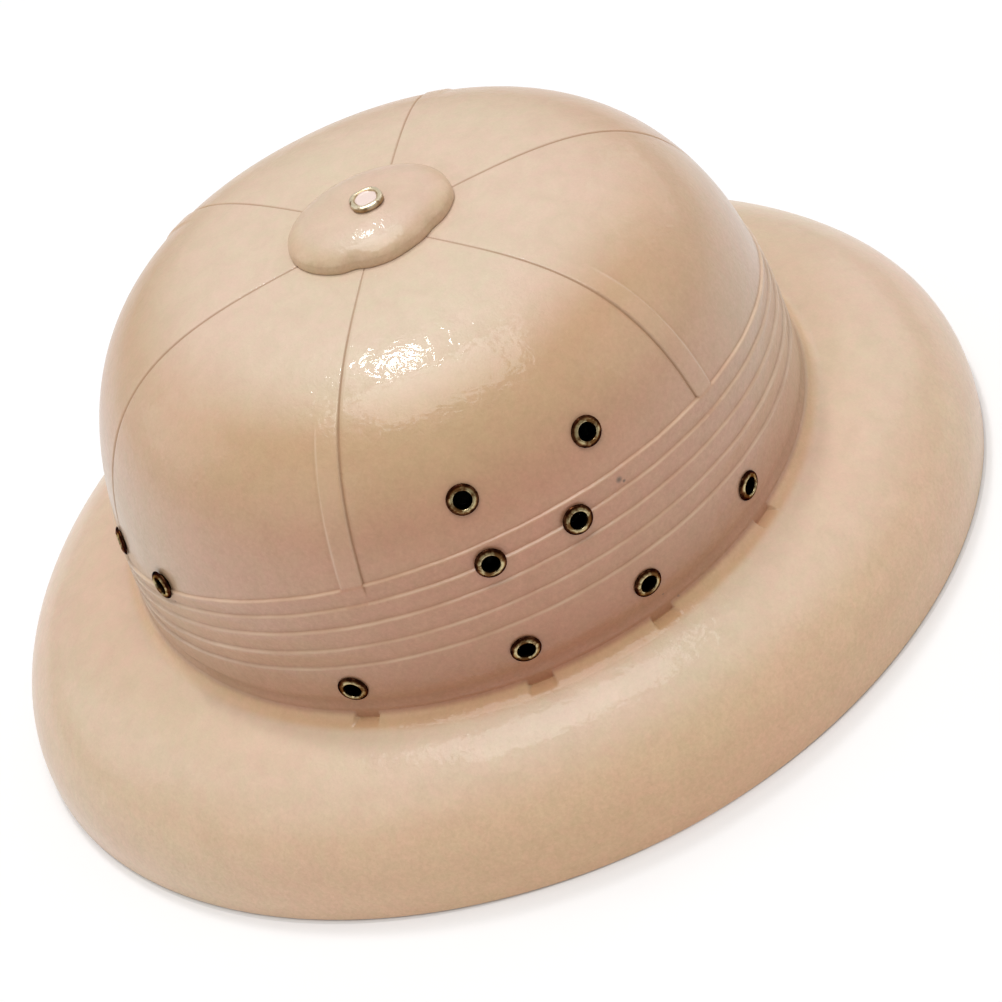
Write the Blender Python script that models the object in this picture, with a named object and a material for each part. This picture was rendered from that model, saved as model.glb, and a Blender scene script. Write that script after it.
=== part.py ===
"""A moulded sun helmet: a deep oval crown with a folded band round its foot, a wide brim that curves
down to a level edge, an oval cap riveted on top, and pressed brass ventilation eyelets.

The front of the hat faces -Y, the wearer's left is +X, and +Z is up. The origin is the middle of the
edge's oval, on the level that the edge rests on. All lengths are in metres and all angles in degrees.
A level is a height over the brim's root, as a share of the crown's height. A share is a distance from
the crown's axis, as a share of the crown's plan at its foot.
"""

import math
from collections import namedtuple

import bmesh
import bpy
from mathutils import Matrix, Vector

# Brim: its edge is an oval that lies flat, and it rises from there to its root at the crown's foot
RIM_HALF_LENGTH = 0.1690
RIM_HALF_WIDTH = 0.1406
RIM_POWER = 1.94
BRIM_RISE = 0.046
BRIM_POWER = 2.3

# Crown: an oval wall that rounds over into a flat top
CROWN_HALF_LENGTH = 0.113
CROWN_HALF_WIDTH = 0.1045
CROWN_SHIFT = -0.001
CROWN_HEIGHT = 0.0972
CROWN_PLAN_POWER = 2.0
CROWN_TOP_SQUARENESS = 0.1
CROWN_WALL_POWER = 4.4
CROWN_TOP_POWER = 2.4
CROWN_TAPER = 0.04

# One wall all over, and the hollow corner between the crown and the brim
WALL = 0.0022
FILLET_RADIUS = 0.0065

# Clearance between pieces that touch on the real hat, and the larger one inside the crown
GAP = 0.0003
INNER_GAP = 0.0007

# Band: folds run round the crown's foot. Each stands out below its ledge and runs in to the next.
# They crest a little behind the middle of each side and dip to the front and, less, to the back. The
# last fold dips by a share of its height over the fillet, and the folds above it by more.
FOLD_LEVELS = (0.562, 0.496, 0.4225, 0.341, 0.264)
FOLD_CREST = 5.0
FRONT_DIP = 0.94
BACK_DIP = 0.63
FOLD_FAN = 0.53
DIP_POWER = 2.1
FOLD_STEP = 0.0007
FOLD_LEDGE = 0.0006

# Tapes: a flat strip beside each of the four slanting seams, from near the cap down to the first fold
SEAM_ANGLE = 31.1
TAPE_WIDTH = 0.0062
TAPE_RISE = 0.0006
TAPE_SLOPE = 0.0007
TAPE_FULL_SHARE = 0.70
TAPE_GONE_SHARE = 0.50

# Seams: a fine groove along each seam
GROOVE_WIDTH = 0.0014
GROOVE_DEPTH = 0.0004

# Notches: below each lower eyelet of the sides, the band's face runs on down into the fillet
NOTCH_WIDTH = 0.0073
NOTCH_REACH = 0.0090
NOTCH_FLOOR = 0.0003
NOTCH_ANGLES = (-37.7, -10.7, 9.8, 32.9)

# Eyelets: brass, each clinched in a hole of its own
EYELET_RADIUS = 0.00465
EYELET_BORE = 0.0026
EYELET_TUBE_WALL = 0.0005
EYELET_RISE = 0.0011
EYELET_CREST_RADIUS = 0.0038
CLINCH_RADIUS = 0.0041
CLINCH_RISE = 0.0007
EYELET_SIDES = 12

# One row for each eyelet of a side: name, angle round the crown on the left, level. The right mirrors it.
SIDE_EYELETS = (
    ("upper_front", -11.9, 0.691),
    ("upper_back", 11.0, 0.697),
    ("middle_front", -11.3, 0.491),
    ("middle_back", 3.3, 0.494),
    ("lower_front_corner", -38.4, 0.139),
    ("lower_front", -11.1, 0.156),
    ("lower_back", 9.4, 0.160),
    ("lower_back_corner", 32.4, 0.161),
)
# The eyelets near the front, where the left side has one more than the right
NEAR_FRONT_ANGLE = -72.6
NEAR_FRONT_LEVEL = 0.394
CENTRE_EYELET_LEVEL = 0.362

# Cap: a low oval dome over the meeting of the seams, a little off the rivet that holds it
CAP_HALF_LENGTH = 0.0262
CAP_HALF_WIDTH = 0.0208
CAP_SHIFT_X = -0.0018
CAP_SHIFT_Y = -0.0008
CAP_EDGE = 0.0010
CAP_RISE = 0.0085
CAP_POWER = 2.2
CAP_WALL = 0.0020
CAP_COLUMNS = 26
CAP_SHARES = (0.98, 0.90, 0.75, 0.50)

# Rivet that holds the cap, near the hat's upright axis
RIVET_X = -0.0007
RIVET_Y = -0.0004
RIVET_HEAD_RADIUS = 0.0055
RIVET_HEAD_RISE = 0.0014
RIVET_ROLL = 0.0006
RIVET_DISH_RADIUS = 0.0036
RIVET_DISH_DEPTH = 0.0006
RIVET_SHANK_RADIUS = 0.0020
RIVET_CLINCH_RADIUS = 0.0036
RIVET_CLINCH_RISE = 0.0009
RIVET_SIDES = 16

# Fineness: the widest step between two columns, and the rows of each stretch from the top down
WIDEST_STEP = 9.5
TOP_SHARES = (0.22, 0.45, 0.64, 0.77, 0.86)
PANEL_ROWS = 4
FILLET_ROWS = 3
BRIM_ROWS = 8
INNER_SHARES = (0.30, 0.60, 0.78)
INNER_WALL_ROWS = 6
INNER_FILLET_ROWS = 2
INNER_BRIM_ROWS = 5

TAN = (0.605, 0.430, 0.290, 1.0)
BRASS = (0.290, 0.200, 0.095, 1.0)
GOLD = (0.720, 0.560, 0.330, 1.0)

# The stretch over which a surface's direction is read, as a share of the whole skin
PROBE = 0.0005

# A rail is a line down the crown at a distance from a seam, with its share of tape and of groove.
# A column lies on a rail, or at a fraction of the way from one rail to the next.
Rail = namedtuple("Rail", "seam distance tape groove")
Column = namedtuple("Column", "rail next_rail fraction")


def clear_scene():
    """Start from an empty scene."""
    for item in list(bpy.data.objects):
        bpy.data.objects.remove(item, do_unlink=True)


def make_material(name, colour, roughness, metallic):
    """A plain Principled material."""
    material = bpy.data.materials.new(name)
    material.use_nodes = True
    shader = material.node_tree.nodes["Principled BSDF"]
    shader.inputs["Base Color"].default_value = colour
    shader.inputs["Roughness"].default_value = roughness
    shader.inputs["Metallic"].default_value = metallic
    return material


def add_object(name, mesh_data, material, sharp_angle=40.0):
    """Turn a bmesh into a named object, shaded smooth except at its real edges."""
    bmesh.ops.recalc_face_normals(mesh_data, faces=mesh_data.faces)
    mesh = bpy.data.meshes.new(name)
    mesh_data.to_mesh(mesh)
    mesh_data.free()
    mesh.shade_smooth()
    mesh.set_sharp_from_angle(angle=math.radians(sharp_angle))
    if material:
        mesh.materials.append(material)
    item = bpy.data.objects.new(name, mesh)
    bpy.context.scene.collection.objects.link(item)
    return item


def add_cutter(name, mesh_data, target):
    """A hidden shape that a Boolean takes out of the target."""
    cutter = add_object(name, mesh_data, None)
    cutter.hide_render = True
    cutter.display_type = "WIRE"
    cut = target.modifiers.new(name, "BOOLEAN")
    cut.operation = "DIFFERENCE"
    cut.solver = "EXACT"
    cut.object = cutter


def add_ring(mesh_data, points):
    """One closed ring of vertices."""
    return [mesh_data.verts.new(point) for point in points]


def skin_between(mesh_data, ring, next_ring):
    """Faces between two rings of the same count, or a fan where one ring is a single point."""
    count = max(len(ring), len(next_ring))
    for index in range(count):
        after = (index + 1) % count
        if len(ring) == 1:
            corners = (ring[0], next_ring[index], next_ring[after])
        elif len(next_ring) == 1:
            corners = (ring[index], next_ring[0], ring[after])
        else:
            corners = (ring[index], next_ring[index], next_ring[after], ring[after])
        mesh_data.faces.new(corners)


def turned(profile, sides):
    """A solid turned round the Z axis from (radius, height) points. A profile that starts and ends
    on the axis is solid through, and any other is a ring."""
    mesh_data = bmesh.new()
    points = [mesh_data.verts.new((radius, 0.0, height)) for radius, height in profile]
    lines = [mesh_data.edges.new(pair) for pair in zip(points, points[1:])]
    if profile[0][0] > 0.0:
        lines.append(mesh_data.edges.new((points[-1], points[0])))
    bmesh.ops.spin(
        mesh_data,
        geom=points + lines,
        axis=(0.0, 0.0, 1.0),
        cent=(0.0, 0.0, 0.0),
        angle=math.radians(360.0),
        steps=sides,
        use_merge=True,
    )
    bmesh.ops.remove_doubles(mesh_data, verts=mesh_data.verts, dist=1e-6)
    return mesh_data


def oval(angle, half_width, half_length, power=2.0):
    """A point of a superellipse, at an angle from +X."""
    across = math.cos(math.radians(angle))
    along = math.sin(math.radians(angle))
    radius = (abs(across) ** power + abs(along) ** power) ** (-1.0 / power)
    return Vector((half_width * radius * across, half_length * radius * along, 0.0))


def share_at(level):
    """The crown's plan at a level, as a share of its plan at the foot."""
    wall = max(0.0, 1.0 - level**CROWN_TOP_POWER) ** (1.0 / CROWN_WALL_POWER)
    return wall * (1.0 - CROWN_TAPER * level * (1.0 - level))


def level_at(share):
    """The level where the crown has narrowed to a share, found by halving."""
    low = 0.0
    high = 1.0
    for _ in range(40):
        middle = (low + high) / 2.0
        if share_at(middle) > share:
            low = middle
        else:
            high = middle
    return low


def crown_point(angle, level):
    """A point of the crown's smooth outer face."""
    power = CROWN_PLAN_POWER + CROWN_TOP_SQUARENESS * level * level
    plan = oval(angle, CROWN_HALF_WIDTH, CROWN_HALF_LENGTH, power) * share_at(level)
    return plan + Vector((0.0, CROWN_SHIFT, BRIM_RISE + CROWN_HEIGHT * level))


def brim_point(angle, reach):
    """A point of the brim's smooth upper face. Reach is 0 at the crown's foot and 1 at the edge."""
    foot = oval(angle, CROWN_HALF_WIDTH, CROWN_HALF_LENGTH, CROWN_PLAN_POWER)
    foot.y += CROWN_SHIFT
    edge = oval(angle, RIM_HALF_WIDTH, RIM_HALF_LENGTH, RIM_POWER)
    point = foot.lerp(edge, reach)
    point.z = BRIM_RISE * max(0.0, 1.0 - reach**BRIM_POWER) ** (1.0 / BRIM_POWER)
    return point


def skin_point(angle, place):
    """A point of the smooth outer skin. Place 0 to 1 runs down the crown to the fillet, 1 to 2 round
    the fillet, and 2 to 3 out over the brim to its edge."""
    fillet_level = FILLET_RADIUS / CROWN_HEIGHT
    if place <= 1.0:
        return crown_point(angle, 1.0 - (1.0 - fillet_level) * place)
    brim_depth = (brim_point(angle, 1.0).xy - brim_point(angle, 0.0).xy).length
    fillet_reach = FILLET_RADIUS / brim_depth
    if place < 2.0:
        turn = math.radians(90.0 * (place - 1.0))
        point = brim_point(angle, fillet_reach * (1.0 - math.cos(turn)))
        point.z += FILLET_RADIUS * (1.0 - math.sin(turn))
        return point
    lean = math.radians(90.0 * (place - 2.0))
    return brim_point(angle, fillet_reach + (1.0 - fillet_reach) * math.sin(lean))


def place_at(level):
    """The place of a level of the crown."""
    return (1.0 - level) / (1.0 - FILLET_RADIUS / CROWN_HEIGHT)


def skin_normal(angle, place):
    """The outward direction of the smooth skin."""
    turn = math.degrees(PROBE)
    across = skin_point(angle + turn, place) - skin_point(angle - turn, place)
    down = skin_point(angle, min(place + PROBE, 3.0)) - skin_point(angle, max(place - PROBE, 0.0))
    return down.cross(across).normalized()


def offset_point(angle, place, offset):
    """A point at a distance out from the smooth skin. At the edge it stays on the level of rest."""
    point = skin_point(angle, place) + skin_normal(angle, place) * offset
    if place >= 3.0:
        point.z = 0.0
    return point


def fold_level(number, angle):
    """The level of a fold's upper edge at an angle. Number 0 is the top fold."""
    turn = math.degrees(math.asin(math.sin(math.radians(angle))))
    if turn < FOLD_CREST:
        depth = FRONT_DIP
        way = (FOLD_CREST - turn) / (90.0 + FOLD_CREST)
    else:
        depth = BACK_DIP
        way = (turn - FOLD_CREST) / (90.0 - FOLD_CREST)
    room = FOLD_LEVELS[-1] - FILLET_RADIUS / CROWN_HEIGHT
    fan = 1.0 + FOLD_FAN * (1.0 - number / (len(FOLD_LEVELS) - 1))
    return FOLD_LEVELS[number] - room * depth * fan * way**DIP_POWER


def rail_angle(rail, level):
    """The angle of a rail at a level. It keeps its distance from the seam, except that over the
    faded end of the tapes it runs to the crown's middle."""
    level = min(level, level_at(TAPE_GONE_SHARE))
    radius = (crown_point(rail.seam, level).xy - Vector((0.0, CROWN_SHIFT))).length
    return rail.seam + math.degrees(rail.distance / radius)


def column_angle(column, level):
    """The angle of a column at a level."""
    start = rail_angle(column.rail, level)
    end = rail_angle(column.next_rail, level)
    return start + (end - start) * column.fraction


def make_rails():
    """The rails in order round the crown, from the front seam over the left side to the front again."""
    side = GROOVE_WIDTH / 2.0
    rails = [Rail(-90.0, 0.0, 0.0, 1.0), Rail(-90.0, side, 0.0, 0.0)]
    for middle in (0.0, 180.0):
        flank = Rail(middle, 0.0, 0.0, 0.0)
        tape = (
            Rail(middle + SEAM_ANGLE, -GROOVE_WIDTH, 0.0, 0.0),
            Rail(middle + SEAM_ANGLE, -side, 0.0, 1.0),
            Rail(middle + SEAM_ANGLE, 0.0, 1.0, 0.0),
            Rail(middle + SEAM_ANGLE, TAPE_WIDTH, 1.0, 0.0),
            Rail(middle + SEAM_ANGLE, TAPE_WIDTH + TAPE_SLOPE, 0.0, 0.0),
        )
        mirrored = [Rail(middle - SEAM_ANGLE, -rail.distance, rail.tape, rail.groove) for rail in tape]
        rails.extend(reversed(mirrored))
        rails.append(flank)
        rails.extend(tape)
        seam = middle + 90.0
        rails.append(Rail(seam, -side, 0.0, 0.0))
        if middle == 0.0:
            rails.append(Rail(seam, 0.0, 0.0, 1.0))
            rails.append(Rail(seam, side, 0.0, 0.0))
    return rails


def make_columns():
    """A column on each rail, with more between two rails that lie far apart."""
    rails = make_rails()
    columns = []
    for rail, next_rail in zip(rails, rails[1:]):
        columns.append(Column(rail, next_rail, 0.0))
        steps = math.ceil((rail_angle(next_rail, 0.0) - rail_angle(rail, 0.0)) / WIDEST_STEP)
        for step in range(1, steps):
            columns.append(Column(rail, next_rail, step / steps))
    columns.append(Column(rails[-1], rails[-1], 0.0))
    return columns


def relief(column, level):
    """How far tape and groove move the crown's face over the band."""
    share = share_at(level)
    strength = (share - TAPE_GONE_SHARE) / (TAPE_FULL_SHARE - TAPE_GONE_SHARE)
    tape = column.rail.tape + (column.next_rail.tape - column.rail.tape) * column.fraction
    groove = column.rail.groove + (column.next_rail.groove - column.rail.groove) * column.fraction
    return TAPE_RISE * tape * min(1.0, max(0.0, strength)) - GROOVE_DEPTH * groove


def even_level(level):
    """The same level all round."""
    return lambda angle: level


def fold_edge(number, drop):
    """The level of a fold's upper edge, or a drop below it, which changes round the crown."""
    return lambda angle: fold_level(number, angle) - drop


def down_to_band(start, fraction):
    """A level part of the way from an even level down to the first fold."""
    return lambda angle: start + (fold_level(0, angle) - start) * fraction


def crown_ring(columns, level_of, offset=None):
    """One ring of the crown, at a level that may change round it. A ring without an offset of its
    own carries the tapes and the grooves."""
    points = []
    for column in columns:
        angle = column_angle(column, level_of(column_angle(column, 0.0)))
        level = level_of(angle)
        out = relief(column, level) if offset is None else offset
        points.append(offset_point(angle, place_at(level), out))
    return points


def lower_ring(columns, place, offset):
    """One ring of the fillet or the brim."""
    return [offset_point(column_angle(column, 0.0), place, offset) for column in columns]


def outer_rings(columns):
    """The rings of the outer face, from the crown's top down to the edge."""
    rings = [[crown_point(0.0, 1.0)]]
    for share in TOP_SHARES:
        rings.append(crown_ring(columns, even_level(level_at(share))))
    shoulder = level_at(TOP_SHARES[-1])
    for row in range(1, PANEL_ROWS + 1):
        rings.append(crown_ring(columns, down_to_band(shoulder, row / PANEL_ROWS)))
    for number in range(len(FOLD_LEVELS)):
        if number > 0:
            rings.append(crown_ring(columns, fold_edge(number, 0.0), 0.0))
        rings.append(crown_ring(columns, fold_edge(number, FOLD_LEDGE / CROWN_HEIGHT), FOLD_STEP))
    # Below the last fold the band's face runs straight down to where the fillet stands out as far
    start = math.degrees(math.acos(1.0 - FOLD_STEP / FILLET_RADIUS)) / 90.0
    for row in range(FILLET_ROWS + 1):
        rings.append(lower_ring(columns, 1.0 + start + (1.0 - start) * row / FILLET_ROWS, 0.0))
    for row in range(1, BRIM_ROWS + 1):
        rings.append(lower_ring(columns, 2.0 + row / BRIM_ROWS, 0.0))
    return rings


def inner_rings(columns):
    """The rings of the inner face, one wall in from the smooth skin, from the top down to the edge."""
    rings = [[crown_point(0.0, 1.0) - Vector((0.0, 0.0, WALL))]]
    levels = [level_at(share) for share in INNER_SHARES]
    shoulder = levels[-1]
    foot = FILLET_RADIUS / CROWN_HEIGHT
    for row in range(1, INNER_WALL_ROWS + 1):
        levels.append(shoulder + (foot - shoulder) * row / INNER_WALL_ROWS)
    for level in levels:
        rings.append(crown_ring(columns, even_level(level), -WALL))
    for row in range(1, INNER_FILLET_ROWS + 1):
        rings.append(lower_ring(columns, 1.0 + row / INNER_FILLET_ROWS, -WALL))
    for row in range(1, INNER_BRIM_ROWS + 1):
        rings.append(lower_ring(columns, 2.0 + row / INNER_BRIM_ROWS, -WALL))
    return rings


def eyelet_places():
    """Name, angle and level of every eyelet."""
    places = [("eyelet_front_centre", -90.0, CENTRE_EYELET_LEVEL)]
    places.append(("eyelet_left_near_front", NEAR_FRONT_ANGLE, NEAR_FRONT_LEVEL))
    for name, angle, level in SIDE_EYELETS:
        places.append(("eyelet_left_" + name, angle, level))
        places.append(("eyelet_right_" + name, 180.0 - angle, level))
    return places


def eyelet_frame(angle, level):
    """The matrix that stands an eyelet on the crown, with its origin on the smooth skin."""
    place = place_at(level)
    normal = skin_normal(angle, place)
    turn = Vector((0.0, 0.0, 1.0)).rotation_difference(normal).to_matrix().to_4x4()
    return Matrix.Translation(skin_point(angle, place)) @ turn


def eyelet_seat(angle, level):
    """How far the eyelet's flange stands off the smooth skin: over the folds, or on the panel."""
    flange_foot = level - EYELET_RADIUS / CROWN_HEIGHT
    on_band = flange_foot < fold_level(0, angle)
    return GAP + (FOLD_STEP if on_band else 0.0)


def round_clear(radius, sides):
    """The corner radius of a hole with flat sides that clears a round piece by the gap."""
    return (radius + GAP) / math.cos(math.pi / sides)


def add_drill(mesh_data, frame, radius, sides, height):
    """A closed cylinder through the wall, centred on the frame."""
    bmesh.ops.create_cone(
        mesh_data,
        cap_ends=True,
        cap_tris=False,
        segments=sides,
        radius1=radius,
        radius2=radius,
        depth=height,
        matrix=frame,
    )


def rivet_axis():
    """The frame at the crown's top where the rivet stands."""
    return Matrix.Translation((RIVET_X, RIVET_Y, BRIM_RISE + CROWN_HEIGHT))


def make_holes(shell):
    """Cut the eyelets' holes and the rivet's hole."""
    mesh_data = bmesh.new()
    height = 2.0 * (WALL + INNER_GAP + FOLD_STEP)
    eyelet_hole = round_clear(EYELET_BORE + EYELET_TUBE_WALL, EYELET_SIDES)
    for _, angle, level in eyelet_places():
        add_drill(mesh_data, eyelet_frame(angle, level), eyelet_hole, EYELET_SIDES, height)
    rivet_hole = round_clear(RIVET_SHANK_RADIUS, RIVET_SIDES)
    add_drill(mesh_data, rivet_axis(), rivet_hole, RIVET_SIDES, height)
    add_cutter("hole_cutter", mesh_data, shell)


def make_notches(shell):
    """Cut the notches: blocks whose inner face carries the band's face on down into the fillet."""
    mesh_data = bmesh.new()
    size = Vector((NOTCH_REACH - FOLD_STEP, NOTCH_WIDTH, FILLET_RADIUS - NOTCH_FLOOR))
    middle = Vector((NOTCH_REACH + FOLD_STEP, 0.0, FILLET_RADIUS + NOTCH_FLOOR)) / 2.0
    for left_angle in NOTCH_ANGLES:
        for angle in (left_angle, 180.0 - left_angle):
            normal = skin_normal(angle, 1.0)
            heading = Matrix.Rotation(math.atan2(normal.y, normal.x), 4, "Z")
            foot = Matrix.Translation(crown_point(angle, 0.0))
            stretch = Matrix.Diagonal(size.to_4d())
            stretch[3][3] = 1.0
            frame = foot @ heading @ Matrix.Translation(middle) @ stretch
            bmesh.ops.create_cube(mesh_data, size=1.0, matrix=frame)
    add_cutter("notch_cutter", mesh_data, shell)


def make_shell(material):
    """Crown and brim, moulded in one wall."""
    mesh_data = bmesh.new()
    columns = make_columns()
    rings = outer_rings(columns) + list(reversed(inner_rings(columns)))
    rings = [add_ring(mesh_data, points) for points in rings]
    for ring, next_ring in zip(rings, rings[1:]):
        skin_between(mesh_data, ring, next_ring)
    shell = add_object("shell", mesh_data, material, sharp_angle=35.0)
    make_notches(shell)
    make_holes(shell)


def make_eyelets(material):
    """Every eyelet: a rolled flange outside, a tube through the wall and a flared lip inside."""
    tube = EYELET_BORE + EYELET_TUBE_WALL
    for name, angle, level in eyelet_places():
        seat = eyelet_seat(angle, level)
        lip = -(WALL + INNER_GAP)
        profile = (
            (EYELET_RADIUS, seat),
            (EYELET_CREST_RADIUS, seat + EYELET_RISE),
            (EYELET_BORE, seat + EYELET_RISE / 2.0),
            (EYELET_BORE, lip - CLINCH_RISE),
            (CLINCH_RADIUS, lip),
            (tube, lip),
            (tube, seat),
        )
        eyelet = add_object(name, turned(profile, EYELET_SIDES), material)
        eyelet.matrix_world = eyelet_frame(angle, level)


def cap_height(share, rise):
    """The dome's height at a share of its plan."""
    return rise * (1.0 - share**CAP_POWER) ** (1.0 / CAP_POWER)


def cap_ring(share, height, inset):
    """One ring of the cap, at a share of its plan less an inset."""
    points = []
    for column in range(CAP_COLUMNS):
        angle = 360.0 * column / CAP_COLUMNS
        point = oval(angle, CAP_HALF_WIDTH - inset, CAP_HALF_LENGTH - inset) * share
        points.append(point + Vector((CAP_SHIFT_X, CAP_SHIFT_Y, height)))
    return points


def cap_hole_ring(height):
    """The ring where the dome ends at the rivet's hole."""
    radius = round_clear(RIVET_SHANK_RADIUS, CAP_COLUMNS)
    points = []
    for column in range(CAP_COLUMNS):
        point = oval(360.0 * column / CAP_COLUMNS, radius, radius)
        point.z = height
        points.append(point)
    return points


def make_cap(material):
    """The cap: a hollow oval dome with a hole for the rivet, standing on the crown's flat top."""
    mesh_data = bmesh.new()
    dome = CAP_RISE - CAP_EDGE
    hollow = dome - CAP_WALL + CAP_EDGE
    rings = [cap_hole_ring(CAP_EDGE + dome)]
    for share in reversed(CAP_SHARES):
        rings.append(cap_ring(share, CAP_EDGE + cap_height(share, dome), 0.0))
    rings.append(cap_ring(1.0, CAP_EDGE, 0.0))
    rings.append(cap_ring(1.0, 0.0, 0.0))
    rings.append(cap_ring(1.0, 0.0, CAP_WALL))
    for share in CAP_SHARES:
        rings.append(cap_ring(share, cap_height(share, hollow), CAP_WALL))
    rings.append(cap_hole_ring(hollow))
    rings = [add_ring(mesh_data, points) for points in rings]
    for ring, next_ring in zip(rings, rings[1:] + rings[:1]):
        skin_between(mesh_data, ring, next_ring)
    cap = add_object("crown_cap", mesh_data, material)
    cap.matrix_world = rivet_axis() @ Matrix.Translation((0.0, 0.0, GAP))


def make_rivet(material):
    """The rivet: a dished head on the cap, a shank through cap and crown, and a clinch inside."""
    under_head = GAP + CAP_RISE + GAP
    top = under_head + RIVET_HEAD_RISE
    clinch = -(WALL + INNER_GAP)
    profile = (
        (0.0, top - RIVET_DISH_DEPTH),
        (RIVET_DISH_RADIUS, top - RIVET_DISH_DEPTH),
        (RIVET_DISH_RADIUS + RIVET_ROLL, top),
        (RIVET_HEAD_RADIUS - RIVET_ROLL, top),
        (RIVET_HEAD_RADIUS, under_head + RIVET_HEAD_RISE / 2.0),
        (RIVET_HEAD_RADIUS, under_head),
        (RIVET_SHANK_RADIUS, under_head),
        (RIVET_SHANK_RADIUS, clinch),
        (RIVET_CLINCH_RADIUS, clinch),
        (RIVET_CLINCH_RADIUS, clinch - RIVET_CLINCH_RISE),
        (0.0, clinch - RIVET_CLINCH_RISE),
    )
    rivet = add_object("cap_rivet", turned(profile, RIVET_SIDES), material)
    rivet.matrix_world = rivet_axis()


def main():
    """Build the hat."""
    clear_scene()
    tan = make_material("tan_plastic", TAN, 0.42, 0.0)
    brass = make_material("aged_brass", BRASS, 0.38, 1.0)
    gold = make_material("bright_brass", GOLD, 0.30, 1.0)
    make_shell(tan)
    make_cap(tan)
    make_rivet(gold)
    make_eyelets(brass)


main()
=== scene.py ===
"""A moulded sun helmet on a pale floor: fine skins for the hat's shell, its cap, the cap's rivet and the
brass eyelets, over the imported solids.

The front of the hat faces -Y and the wearer's left is +X. Shapes are worked out in millimetres and turned
into metres where a mesh is made. Angles are in degrees. A level is a height over the brim's root, as a share
of the crown's height, and a share is a distance from the crown's axis, as a share of its plan at the foot.
"""

import math

import bmesh
import bpy
import numpy as np
from mathutils import Matrix, Vector, kdtree


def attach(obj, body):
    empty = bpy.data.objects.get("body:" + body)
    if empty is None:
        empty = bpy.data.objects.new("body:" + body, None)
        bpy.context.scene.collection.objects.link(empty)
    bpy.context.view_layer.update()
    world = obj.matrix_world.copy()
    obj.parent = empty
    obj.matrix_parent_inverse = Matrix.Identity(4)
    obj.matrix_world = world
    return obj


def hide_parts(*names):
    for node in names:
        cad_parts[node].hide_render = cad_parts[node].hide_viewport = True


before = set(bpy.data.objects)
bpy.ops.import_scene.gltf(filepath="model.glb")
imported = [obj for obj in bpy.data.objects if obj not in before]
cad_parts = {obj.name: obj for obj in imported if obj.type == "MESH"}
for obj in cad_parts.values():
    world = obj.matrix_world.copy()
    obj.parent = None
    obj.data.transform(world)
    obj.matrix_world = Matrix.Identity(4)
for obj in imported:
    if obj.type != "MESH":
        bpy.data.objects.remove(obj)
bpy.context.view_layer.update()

MM = 0.001

# Sizes of the solids, in millimetres
RIM_HALF_LENGTH = 169.0
RIM_HALF_WIDTH = 140.6
RIM_POWER = 1.94
BRIM_RISE = 46.0
BRIM_POWER = 2.3
CROWN_HALF_LENGTH = 113.0
CROWN_HALF_WIDTH = 104.5
CROWN_SHIFT = -1.0
CROWN_HEIGHT = 97.2
CROWN_TOP_SQUARENESS = 0.1
CROWN_WALL_POWER = 4.4
CROWN_TOP_POWER = 2.4
CROWN_TAPER = 0.04
WALL = 2.2
FILLET = 6.5
GAP = 0.3
INNER_GAP = 0.7
FOLD_LEVELS = (0.562, 0.496, 0.4225, 0.341, 0.264)
FOLD_CREST = 5.0
FRONT_DIP = 0.94
BACK_DIP = 0.63
FOLD_FAN = 0.53
DIP_POWER = 2.1
FOLD_STEP = 0.7
SEAM_ANGLE = 31.1
TAPE_FULL_SHARE = 0.70
TAPE_GONE_SHARE = 0.50
NOTCH_WIDTH = 7.3
NOTCH_FLOOR = 0.3
NOTCH_ANGLES = (-37.7, -10.7, 9.8, 32.9)
EYELET_RADIUS = 4.65
EYELET_BORE = 2.6
EYELET_TUBE_WALL = 0.5
CLINCH_RISE = 0.7
RIVET_PLACE = (-0.7, -0.4)
CAP_HALF_LENGTH = 26.2
CAP_HALF_WIDTH = 20.8
CAP_SHIFT = (-1.8, -0.8)
CAP_EDGE = 1.0
CAP_RISE = 8.5
CAP_POWER = 2.2
CAP_WALL = 2.0
RIVET_HEAD_RISE = 1.4
CROWN_TOP = BRIM_RISE + CROWN_HEIGHT
FOOT_LEVEL = FILLET / CROWN_HEIGHT

SIDE_EYELETS = (
    ("upper_front", -11.9, 0.691),
    ("upper_back", 11.0, 0.697),
    ("middle_front", -11.3, 0.491),
    ("middle_back", 3.3, 0.494),
    ("lower_front_corner", -38.4, 0.139),
    ("lower_front", -11.1, 0.156),
    ("lower_back", 9.4, 0.160),
    ("lower_back_corner", 32.4, 0.161),
)
NEAR_FRONT_ANGLE = -72.6
NEAR_FRONT_LEVEL = 0.394
CENTRE_EYELET_LEVEL = 0.362

# The shares between which the tapes fade away towards the cap
TAPE_FADE = (0.58, 0.80)
# The share inside which the shell's columns run straight to the middle
RAIL_SHARE = 0.28

# Relief across a tape: distance from the seam into the tape, how far the tape stands out, and the groove
TAPE_PROFILE = (
    (-1.40, 0.00, 0.00), (-0.70, 0.00, -0.05), (-0.42, 0.00, -0.22), (-0.16, 0.00, -0.34),
    (0.02, 0.10, -0.26), (0.20, 0.34, -0.05), (0.40, 0.54, 0.00), (0.70, 0.60, 0.00),
    (2.40, 0.60, 0.00), (4.20, 0.60, 0.00), (5.60, 0.60, 0.00), (5.95, 0.56, 0.00),
    (6.25, 0.42, 0.00), (6.55, 0.22, 0.00), (6.85, 0.06, -0.04), (7.20, 0.00, -0.05),
    (7.70, 0.00, 0.00),
)

# The single groove of the front and back seams: distance and depth
GROOVE_PROFILE = ((0.0, -0.34), (0.24, -0.29), (0.50, -0.12), (0.85, 0.00), (1.60, 0.00))

# Relief down a fold, from above its line: distance below the line, and how far it stands out
FOLD_PROFILE = (
    (-0.45, 0.00), (-0.12, -0.02), (0.00, 0.03), (0.12, 0.16),
    (0.30, 0.40), (0.48, 0.60), (0.68, 0.70), (1.00, 0.72),
)

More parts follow.
